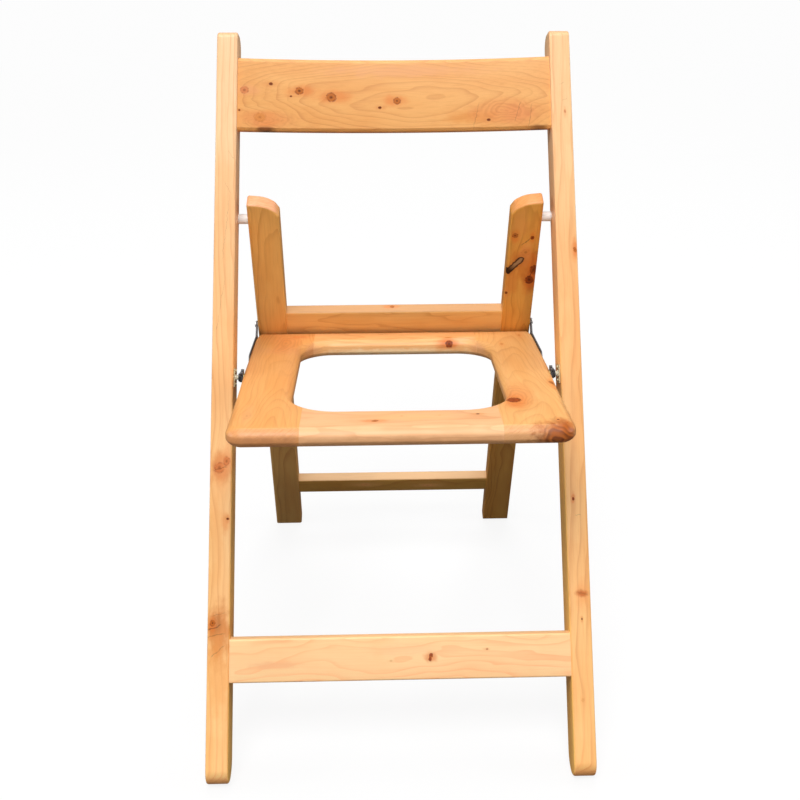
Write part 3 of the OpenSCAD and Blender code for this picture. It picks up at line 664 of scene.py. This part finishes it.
def build_seat():
    """Whole seat ring with rounded rims, then cut into its four boards."""
    op, on = arc_outline([(-XSEAT, -SEAT_F, 18), (XSEAT, -SEAT_F, 18), (XSEAT, SEAT_R, 5), (-XSEAT, SEAT_R, 5)], 16)
    op, on = densify(op, on, 12)
    ip, inn = arc_outline([(-118, -125, 52), (118, -125, 52), (118, 118.5, 40), (-118, 118.5, 40)], 20)
    ip, inn = densify(ip, inn, 12)
    inn = -inn
    prof = edge_profile()

    def radius(p):
        g = p[:, 1]
        front = np.clip((25 - g) / 100, 0, 1)
        rear = np.clip((g - 140) / 16, 0, 1)
        front = front * front * (3 - 2 * front)
        return 4.0 + 4.6 * front + 3.4 * rear

    ro, ri = radius(op), np.full(len(ip), 7.6)
    verts, faces = [], []

    def rim(pts, nrm, r, flip):
        base = len(verts)
        n = len(pts)
        rows = []
        for sgn in (1, -1):
            for (pi, pz_) in (prof if sgn > 0 else prof[::-1]):
                rr = r if sgn > 0 else r * 0.85
                rows.append(np.column_stack([pts - nrm * (rr * pi)[:, None], sgn * (ST - rr * pz_)]))
        for row in rows:
            verts.extend(map(tuple, row))
        for k in range(len(rows) - 1):
            for i in range(n):
                j = (i + 1) % n
                q = (base + k * n + i, base + (k + 1) * n + i, base + (k + 1) * n + j, base + k * n + j)
                faces.append(q if not flip else q[::-1])
        return base, base + (len(rows) - 1) * n, n

    o_top, o_bot, on_ = rim(op, on, ro, False)
    i_top, i_bot, in_ = rim(ip, inn, ri, True)
    ob = make_object("seat_ring", BOARD.world(np.array(verts)), faces)
    bm = bmesh.new()
    bm.from_mesh(ob.data)
    bd = [e for e in bm.edges if len(e.link_faces) == 1]
    up = BOARD.r @ np.array([0, 0, 1.0])
    for sgn in (1, -1):
        es = []
        for e in bd:
            mid = np.array((e.verts[0].co + e.verts[1].co) / 2) * 1000 - BOARD.o
            if sgn * (mid @ up) > 0:
                es.append(e)
        bmesh.ops.triangle_fill(bm, edges=es, use_beauty=True, normal=tuple(sgn * up))
    bmesh.ops.recalc_face_normals(bm, faces=bm.faces)
    bm.to_mesh(ob.data)
    bm.free()
    out = {}
    for nm, cuts in {
        "left_seat_board": [(-103.5, (-1, 0, 0))],
        "right_seat_board": [(103.5, (1, 0, 0))],
        "front_seat_board": [(-103.42, (1, 0, 0)), (103.42, (-1, 0, 0)), ("y", -1)],
        "rear_seat_board": [(-103.42, (1, 0, 0)), (103.42, (-1, 0, 0)), ("y", 1)],
    }.items():
        p = ob.copy()
        p.data = ob.data.copy()
        p.name = nm + "_wood"
        p.data.name = p.name
        bpy.context.scene.collection.objects.link(p)
        bm = bmesh.new()
        bm.from_mesh(p.data)
        for c in cuts:
            if c[0] == "y":
                co = tuple(BOARD.o * 0.001)
                no = tuple(c[1] * (BOARD.r @ np.array([0, 1.0, 0])))
            else:
                co, no = (c[0] * 0.001, 0, 0), c[1]
            geom = list(bm.verts) + list(bm.edges) + list(bm.faces)
            res = bmesh.ops.bisect_plane(bm, geom=geom, dist=1e-7, plane_co=co, plane_no=no, clear_inner=True)
            if c[0] != "y":
                ed = [x for x in res["geom_cut"] if isinstance(x, bmesh.types.BMEdge)]
                bmesh.ops.edgenet_fill(bm, edges=ed, mat_nr=0, use_smooth=False, sides=0)
        bmesh.ops.recalc_face_normals(bm, faces=bm.faces)
        bm.to_mesh(p.data)
        bm.free()
        out[nm] = p
    bpy.data.objects.remove(ob)
    return out


posts = {s: build_post(s) for s in (-1, 1)}
legs = {s: build_leg(s) for s in (-1, 1)}
slat = build_slat()
stretch = build_bar("front_stretcher_wood", POST, XIN + 0.3, -19.5, -5.5, 88, 134, 2.2)
uprail = build_bar("upper_rear_rail_wood", LEG, 140.3, -7.5, 7.5, -LEG_LEN + 401, -LEG_LEN + 449, 2.6)
lowrail = build_bar("lower_rear_rail_wood", LEG, 140.3, -7.5, 7.5, -LEG_LEN + 67, -LEG_LEN + 95, 2.6)
boards = build_seat()

# ---------------------------------------------------------------- woods
# Painted light and shade along the posts: a tint over their length that paints in how light falls from top to foot,
# together with some of the wood's own tone.
POST_PAINTED_LIGHT_TINT = [(0, (1.14, 1.01, 0.72)), (250, (1.0, 0.88, 0.66)), (480, (1.01, 0.87, 0.69)), (760, (1.0, 1.03, 1.04))]
# Painted light and shade on the posts' inner side faces, one tone below and another above.
LSIDE_PAINTED_LIGHT = (300, 560, (1.04, 1.03, 0.68), (1.0, 1.0, 1.06), 1)
RSIDE_PAINTED_LIGHT = (300, 560, (1.2, 1.25, 0.88), (1.0, 1.02, 1.1), -1)
P0 = (lin((252, 212, 164)), lin((246, 190, 134)), lin((214, 142, 86)))
wood_lpost = wood("wood_left_post", POST, *("xyz",), *P0, pith=(-168, 42), ring=4.2, tilt=0.03, seed=1.0, wave=2.2, contrast=0.75,
                  grad=POST_PAINTED_LIGHT_TINT, sides=LSIDE_PAINTED_LIGHT,
                  knots=[(-204, 319, None, 6.0, 1.0, "red"), (-196, 326, None, 4.0, 1.3, "red"), (-209, 152, None, 3.0, 1.1, "dark"), (-194, 263, None, 1.6, 0.8, "speck")],
                  patches=[(-202, 140, None, 17, 42, (204, 120, 46), 0.8), (-206, 150, None, 9, 14, (150, 88, 40), 0.55), (-202, 320, None, 16, 22, (214, 130, 62), 0.7), (-207, 318, None, 7, 9, (170, 96, 50), 0.5), (-196, 258, None, 6, 14, (232, 150, 84), 0.6),
                           (-203, 100, None, 18, 60, (240, 168, 98), 0.5), (-206, 240, None, 9, 70, (240, 176, 112), 0.35)],
                  cracks=[(-201, 590, None, 0.10, 46, 0.35, 0.32), (-206, 500, None, 0.14, 40, 0.35, 0.30), (-196, 680, None, -0.5, 7, 0.4, 0.35), (-199, 640, None, -0.45, 9, 0.4, 0.3),
                          (-207, 147, None, 1.2, 9, 1.0, 0.6), (-205, 139, None, 1.35, 11, 0.8, 0.4), (-203, 161, None, 1.3, 10, 0.6, 0.25), (-203, 122, None, 0.9, 11, 0.7, 0.3), (-203, 318, None, 1.3, 9, 0.8, 0.45)])
wood_rpost = wood("wood_right_post", POST, *("xyz",), *P0, pith=(232, 38), ring=4.6, tilt=-0.02, seed=2.0, wave=2.4, contrast=0.8, gain=(1.0, 0.95, 0.88), grad=POST_PAINTED_LIGHT_TINT, sides=RSIDE_PAINTED_LIGHT,
                  knots=[(206, 730, None, 1.3, 1.6, "red"), (212, 563, None, 2.2, 1.5, "dark"), (204, 149, None, 0.8, 1.3, "speck"), (199, 279, None, 1.5, 1.2, "maroon"),
                         (202, 64, None, 1.8, 1.3, "faint")],
                  patches=[(206, 174, None, 11, 18, (238, 156, 88), 0.5), (206, 176, None, 10, 5, (202, 112, 42), 0.95), (212, 560, None, 6, 16, (236, 160, 96), 0.5)],
                  cracks=[(203, 765, None, 1.1, 4, 0.4, 0.35), (206, 745, None, 1.2, 4, 0.4, 0.3), (206, 176, None, 1.86, 8, 1.2, 0.2), (204, 261, None, 1.5, 4, 0.5, 0.35)])
wood_slat = wood("wood_slat", POST, "zyx", lin((244, 186, 126)), lin((236, 168, 104)), lin((190, 112, 56)), pith=(752, 62), ring=2.5, tilt=0.01, gain=(0.94, 0.867, 0.636), seed=3.0, wave=4.0, nz=(0.020, 0.0046), contrast=0.60,
                 knots=[(768.5, -150, None, 2.2, 1.2, "speck"), (760.5, -116, None, 4.6, 1.15, "dark"), (753.5, -126, None, 1.1, 1.5, "speck"),
                        (752.5, -77, None, 5.6, 1.15, "dark"), (748.5, 3.4, None, 4.6, 1.0, "dark"), (740, -17.5, None, 1.7, 1.3, "speck"),
                        (727, -163, None, 6.0, 1.2, "amber"), (724, -158, None, 6.5, 1.4, "swirl"), (735, -187.5, None, 1.4, 1.0, "speck"), (723, 115, None, 1.8, 1.3, "speck"),
                        (733, 143, None, 9.0, 1.3, "swirl"), (760, -182, None, 4.5, 1.2, "red")],
                 patches=[(724, -158, None, 12, 20, (226, 132, 62), 0.65), (712, -156, None, 4, 14, (84, 44, 22), 0.85), (726, 95, None, 12, 40, (222, 140, 60), 0.6),
                          (730, 150, None, 14, 26, (226, 144, 88), 0.55), (712, 176, None, 5, 14, (130, 72, 34), 0.7), (786, 10, None, 10, 120, (232, 164, 112), 0.5)],
                 cracks=[(732, 150, None, 1.25, 15, 0.6, 0.35), (726, 165, None, 1.4, 18, 0.5, 0.35), (728, 100, None, 1.35, 20, 0.5, 0.3)])
wood_str = wood("wood_stretcher", POST, "zyx", lin((254, 212, 160)), lin((250, 200, 146)), lin((224, 152, 96)), pith=(112, 46), ring=3.0, tilt=0.012, gain=(1.348, 0.975, 0.891), seed=4.0, wave=4.2,
                nz=(0.028, 0.0065), contrast=0.7, fibre=0.7,
                knots=[(113.4, 33.8, None, 2.6, 0.8, "rust"), (109.6, 32.8, None, 2.2, 0.9, "rust"), (119, 96.5, None, 1.0, 1.3, "red"), (108.5, -10.8, None, 1.2, 1.3, "faint")],
                patches=[(106, -140, None, 5, 36, (246, 180, 128), 0.6), (120, 10, None, 8, 60, (248, 190, 138), 0.4)])
# Painted shade: the rear legs darken towards the foot, where the seat shades them.
LEG_PAINTED_SEAT_SHADE = [(-620, (0.64, 0.65, 0.68)), (-360, (0.73, 0.75, 0.77)), (-230, (0.96, 0.97, 0.96)), (-60, (1.06, 1.08, 1.02)), (40, (1.08, 1.10, 1.02))]
LG = (lin((232, 176, 116)), lin((222, 156, 94)), lin((176, 104, 52)))
wood_lleg = wood("wood_left_rear_leg", LEG, "xyz", *LG, grad=LEG_PAINTED_SEAT_SHADE, endtone=(240, 168, 160), pith=(-150, -48), ring=4.2, tilt=0.02, gain=(1.091, 1.103, 0.82), seed=5.0, wave=2.4, contrast=0.8)
wood_rleg = wood("wood_right_rear_leg", LEG, "xyz", *LG, grad=LEG_PAINTED_SEAT_SHADE, endtone=(240, 168, 160), pith=(166, -40), ring=4.4, tilt=0.03, gain=(0.991, 0.892, 0.438), seed=6.0, wave=4.0, contrast=0.9,
                 knots=[(147, -22, -10, 3.6, 1.0, "dark"), (168.5, -26, -10, 2.4, 1.3, "maroon"), (162, -50, -10, 5.2, 1.1, "amber"),
                         (174.5, -80, -10, 5.0, 1.5, "maroon"), (170, -97, -10, 5.5, 1.2, "maroon"), (142.5, -120, -10, 2.0, 1.2, "speck")],
                  slots=[(157, -62, 142, -82, -10, 4.0)],
                 patches=[(162, -66, -10, 20, 34, (206, 118, 44), 0.85), (172, -96, -10, 12, 26, (170, 88, 30), 0.8), (148, -98, -10, 10, 34, (214, 130, 56), 0.6),
                          (150, 0, -10, 14, 34, (226, 150, 80), 0.5)],
                 cracks=[(161, -33, -10, 0.75, 9, 0.9, 0.6), (172, -86, -10, 0.35, 14, 1.0, 0.75)])
# Painted shade: the upper rail's top face is painted darker than its front.
wood_up = wood("wood_upper_rail", LEG, "zyx", lin((238, 172, 106)), lin((230, 154, 86)), lin((188, 108, 50)), pith=(-170, 58), ring=4.2, tilt=0.01, gain=(1.04, 1.293, 1.269), seed=7.0, wave=3.6, contrast=0.8,
               knots=[(-156, -3, 2, 2.4, 1.3, "dark")],
               topface=((208, 152, 100), 0.85))
# Painted light and shade: the lower rail's gain darkens it for the seat's shadow on its front, and its top face is
# painted pale where light falls.
wood_low = wood("wood_lower_rail", LEG, "zyx", lin((240, 182, 118)), lin((228, 160, 96)), lin((186, 110, 54)), pith=(-530, 44), ring=4.0, tilt=0.01, gain=(0.61, 0.595, 0.31), seed=8.0, wave=3.0, contrast=0.8,
                topface=((248, 200, 146), 0.95), knots=[(-520, -40, None, 3.5, 2.2, "faint"), (-524, 52, None, 3.2, 2.4, "faint")])
S0 = (lin((250, 188, 120)), lin((244, 170, 98)), lin((206, 122, 60)))
# The left board's first patch is painted shade on the lower part of its front end.
wood_ls = wood("wood_seat_left", BOARD, "xzy", *S0, pith=(-128, -44), ring=2.3, tilt=0.05, gain=(0.894, 0.824, 0.694), seed=9.0, wave=4.6, nz=(0.014, 0.0045), contrast=0.62,
               knots=[(-160, -140, None, 4.5, 2.6, "faint"), (-138, 104, None, 12.0, 0.8, "swirl")],
               patches=[(-145, -186, -5, 70, 16, (194, 130, 80), 0.8), (-122, 138, 10, 16, 10, (222, 128, 66), 0.6), (-104, -172, -4, 5, 8, (90, 46, 26), 0.7), (-140, 80, 10, 40, 20, (230, 156, 100), 0.4)])
wood_rs = wood("wood_seat_right", BOARD, "xzy", *S0, pith=(138, -40), ring=2.5, tilt=0.05, gain=(0.904, 0.931, 0.885), seed=10.0, wave=4.6, nz=(0.014, 0.0045), contrast=0.62,
               knots=[(123, -104, 9, 8.0, 0.9, "rust"), (130, -96, 10, 11, 0.9, "swirl"), (134, 99, 10, 2.2, 1.6, "amber"), (161, 137, 10, 1.8, 1.8, "amber"), (174.5, -48, 9, 4.6, 1.1, "dark"), (161, -163, 10, 1.4, 1.0, "speck"),
                      (158, -186, -4, 11.0, 0.8, "burl")],
               patches=[(168, -170, 8, 26, 13, (222, 140, 68), 0.7), (163, -186, 0, 36, 30, (176, 90, 26), 1.0), (139, -188, -5, 13, 12, (120, 58, 18), 0.85), (176, -186, -9, 20, 12, (120, 60, 20), 0.8), (128, -96, 10, 16, 24, (236, 150, 84), 0.5),
                        (178, -150, 6, 10, 24, (230, 150, 76), 0.6)])
# The front board's last patch is painted shade on the lower half of the front bullnose.
wood_fs = wood("wood_seat_front", BOARD, "yzx", lin((254, 206, 150)), lin((250, 194, 136)), lin((218, 142, 84)), pith=(-150, -46), ring=3.8, tilt=0.012, gain=(0.895, 0.805, 0.788), seed=11.0, wave=3.6, contrast=0.75,
               knots=[(-160, -27, 9, 2.8, 1.4, "dark"), (-147, 1, 10, 1.4, 1.4, "faint"), (-146, 40, 10, 1.2, 1.4, "faint"), (-144, 80, 10, 1.4, 1.4, "speck")],
               patches=[(-148, 10, 10, 16, 70, (250, 186, 118), 0.5), (-184, 0, -8, 12, 420, (212, 154, 104), 0.75)])
# The rear board's last patch is a painted highlight on the lower strip of the opening's rear wall.
wood_bs = wood("wood_seat_rear", BOARD, "yzx", lin((252, 194, 130)), lin((246, 176, 106)), lin((210, 132, 70)), pith=(140, -44), ring=3.4, tilt=0.012, gain=(0.97, 0.955, 0.913), seed=12.0, wave=3.2, contrast=0.8,
               knots=[(119.5, 69, 4.5, 5.0, 1.0, "maroon"), (130, 69, 10, 2.4, 2.0, "amber")],
               patches=[(121, 69, 5, 10, 13, (222, 122, 50), 0.8), (126, 88, 8, 8, 26, (250, 206, 160), 0.4), (117.5, 0, -6, 8, 130, (255, 226, 178), 0.8)])
wood_dowel = wood("wood_dowel", BOARD, "yzx", lin((240, 200, 150)), lin((230, 184, 130)), lin((200, 144, 90)), seed=13.0)

finish_piece(posts[-1], "left_post", "front_frame", wood_lpost)
finish_piece(posts[1], "right_post", "front_frame", wood_rpost)
finish_piece(slat, "backrest_slat", "front_frame", wood_slat)
finish_piece(stretch, "front_stretcher", "front_frame", wood_str)
finish_piece(legs[-1], "left_rear_leg", "rear_frame", wood_lleg)
finish_piece(legs[1], "right_rear_leg", "rear_frame", wood_rleg)
finish_piece(uprail, "upper_rear_rail", "rear_frame", wood_up)
finish_piece(lowrail, "lower_rear_rail", "rear_frame", wood_low)
for nm, m in (("left_seat_board", wood_ls), ("right_seat_board", wood_rs), ("front_seat_board", wood_fs), ("rear_seat_board", wood_bs)):
    finish_piece(boards[nm], nm, "seat", m, 14)

# ---------------------------------------------------------------- hardware
mats = {
    "bolt": plain("bolt_steel_mat", (0.50, 0.50, 0.51), 0.34, 1.0, brushed=(1, 14, 14), edge=(0.75, 0.75, 0.76)),
    "nylon": plain("nylon_mat", (0.84, 0.84, 0.82), 0.42, 0.0, speck=0.02, scale=500),
    "brass": plain("bush_brass_mat", (0.62, 0.48, 0.22), 0.35, 1.0, brushed=(12, 1, 1)),
    "zinc": plain("plate_zinc_mat", (0.60, 0.49, 0.25), 0.5, 0.7, speck=0.08, scale=700, edge=(0.70, 0.62, 0.40)),
    "cream": plain("pin_cream_mat", (0.66, 0.60, 0.44), 0.40, 0.0, speck=0.05, scale=600),
    "black": plain("black_steel_mat", (0.022, 0.022, 0.024), 0.42, 0.0, speck=0.1, scale=800, edge=(0.10, 0.10, 0.105)),
}
pick = {"top_bolt": "bolt", "guide_pin": "bolt", "top_spacer": "nylon", "leg_bush": "brass", "seat_bush": "brass", "pivot_plate": "zinc",
        "plate_screws": "zinc", "seat_pin": "cream", "bracket_screws": "cream", "pivot_washer": "black", "pivot_nut": "black", "side_bracket": "black"}
for n, o in nodes.items():
    if o.hide_render:
        continue
    key = next((v for k, v in pick.items() if n.endswith(k)), None)
    o.data.materials.clear()
    o.data.materials.append(mats[key] if key else wood_dowel)
    bev = o.modifiers.new("edge", "BEVEL")
    bev.width, bev.segments, bev.limit_method, bev.angle_limit = 0.0003, 2, "ANGLE", math.radians(50)
    bev.use_clamp_overlap = True

# ---------------------------------------------------------------- floor, light, camera
AMB = 0.17


def stage_mat(name, seen, bounce):
    """Pale to the camera, a little darker to the light it sends back up."""
    mat = bpy.data.materials.new(name)
    mat.use_nodes = True
    t = mat.node_tree
    t.nodes.clear()
    g = N(t)
    out = g.new("ShaderNodeOutputMaterial")
    d = g.new("ShaderNodeBsdfDiffuse")
    lp = g.new("ShaderNodeLightPath")
    tc = g.new("ShaderNodeTexCoord")
    n = g.noise(tc.outputs["Object"], 3.0, 3, 0.5)
    pale = g.mix(g.m("MULTIPLY", n, 0.5), seen, tuple(x * 0.985 for x in seen))
    g.link(g.mix(lp.outputs["Is Camera Ray"], bounce, pale), d.inputs[0])
    e = g.new("ShaderNodeEmission")
    g.link(g.mix(lp.outputs["Is Camera Ray"], (0, 0, 0), (0.98, 0.98, 0.98)), e.inputs[0])
    mx = g.new("ShaderNodeMixShader")
    # far off, the floor melts into the backdrop
    ln = g.new("ShaderNodeVectorMath", operation="LENGTH")
    g.link(tc.outputs["Object"], ln.inputs[0])
    far = g.m("MULTIPLY_ADD", g.smooth(ln.outputs["Value"], 0.9, 4.5), 0.12, 0.88)
    g.link(g.m("MULTIPLY", lp.outputs["Is Camera Ray"], far), mx.inputs[0])
    g.link(d.outputs[0], mx.inputs[1])
    g.link(e.outputs[0], mx.inputs[2])
    g.link(mx.outputs[0], out.inputs[0])
    return mat


fm = bpy.data.meshes.new("floor")
fm.from_pydata([(-30, -30, -0.0004), (30, -30, -0.0004), (30, 30, -0.0004), (-30, 30, -0.0004)], [], [(0, 1, 2, 3)])
floor = bpy.data.objects.new("floor", fm)
bpy.context.scene.collection.objects.link(floor)
floor.data.materials.append(stage_mat("floor_mat", (0.95, 0.95, 0.95), (0.09, 0.088, 0.085)))

world = bpy.data.worlds.new("studio")
bpy.context.scene.world = world
world.use_nodes = True
wt = world.node_tree
wt.nodes.clear()
wg = N(wt)
w_out = wg.new("ShaderNodeOutputWorld")
w_bg = wg.new("ShaderNodeBackground")
w_lp = wg.new("ShaderNodeLightPath")
wg.link(wg.mix(w_lp.outputs["Is Camera Ray"], (AMB, AMB, AMB * 1.02), (0.985, 0.985, 0.985)), w_bg.inputs[0])
wg.link(w_bg.outputs[0], w_out.inputs[0])
bpy.context.scene.view_settings.view_transform = "Standard"
bpy.context.scene.view_settings.look = "None"


def area(name, loc, target, size, power, color=(1, 1, 1)):
    l = bpy.data.lights.new(name, "AREA")
    l.shape, l.size, l.size_y, l.energy, l.color = "RECTANGLE", size[0], size[1], power, color
    o = bpy.data.objects.new(name, l)
    bpy.context.scene.collection.objects.link(o)
    o.location = loc
    o.rotation_mode = "QUATERNION"
    o.rotation_quaternion = (Vector(target) - Vector(loc)).to_track_quat("-Z", "Y")
    return o


area("key", (-0.9, -4.3, 7.7), (0, 0, 0.35), (4.2, 3.2), 560)
area("top", (0.1, 1.4, 5.0), (0, 0, 0.3), (3.0, 2.6), 85)
area("fill", (0.4, -4.2, 0.9), (0, 0, 0.3), (2.4, 1.2), 35)
area("side_left", (-3.4, -0.2, 1.5), (0, 0, 0.35), (1.6, 1.6), 40)
area("side_right", (3.4, -0.2, 1.5), (0, 0, 0.35), (1.6, 1.6), 40)
area("rear", (0.5, 4.4, 1.9), (0, 0, 0.35), (3.2, 2.2), 42).visible_glossy = False


cam = bpy.data.cameras.new("camera")
co = bpy.data.objects.new("camera", cam)
bpy.context.scene.collection.objects.link(co)
bpy.context.scene.camera = co
CAMP = dict(x=-28.61, y=-1254.88, z=987.5, yaw=-1.55, pitch=14.412, roll=0.033, f=1098.57, cy=143.197)
co.location = (CAMP["x"] / 1000, CAMP["y"] / 1000, CAMP["z"] / 1000)
yaw, e, r = (math.radians(CAMP[k]) for k in ("yaw", "pitch", "roll"))
fwd = Vector((-math.sin(yaw) * math.cos(e), math.cos(yaw) * math.cos(e), -math.sin(e)))
right = Vector((math.cos(yaw), math.sin(yaw), 0))
up = right.cross(fwd)
r_ = right * math.cos(r) - up * math.sin(r)
u_ = right * math.sin(r) + up * math.cos(r)
co.rotation_mode = "QUATERNION"
co.rotation_quaternion = Matrix((r_, u_, -fwd)).transposed().to_quaternion()
cam.sensor_width = 36.0
cam.lens = CAMP["f"] / 800 * 36.0
cam.clip_start, cam.clip_end = 0.05, 60
SHY = (CAMP["cy"] - 400) / 800
cam.shift_y = SHY
# the shift belongs to this one camera place; other views are centred
drv = cam.driver_add("shift_y").driver
drv.type = "SCRIPTED"
v = drv.variables.new()
v.name = "ly"
v.targets[0].id = co
v.targets[0].data_path = "location[1]"
w = drv.variables.new()
w.name = "lz"
w.targets[0].id = co
w.targets[0].data_path = "location[2]"
drv.expression = f"{SHY:.6f} if abs(ly - ({CAMP['y'] / 1000:.5f})) < 0.0005 and abs(lz - ({CAMP['z'] / 1000:.5f})) < 0.0005 else 0.0"
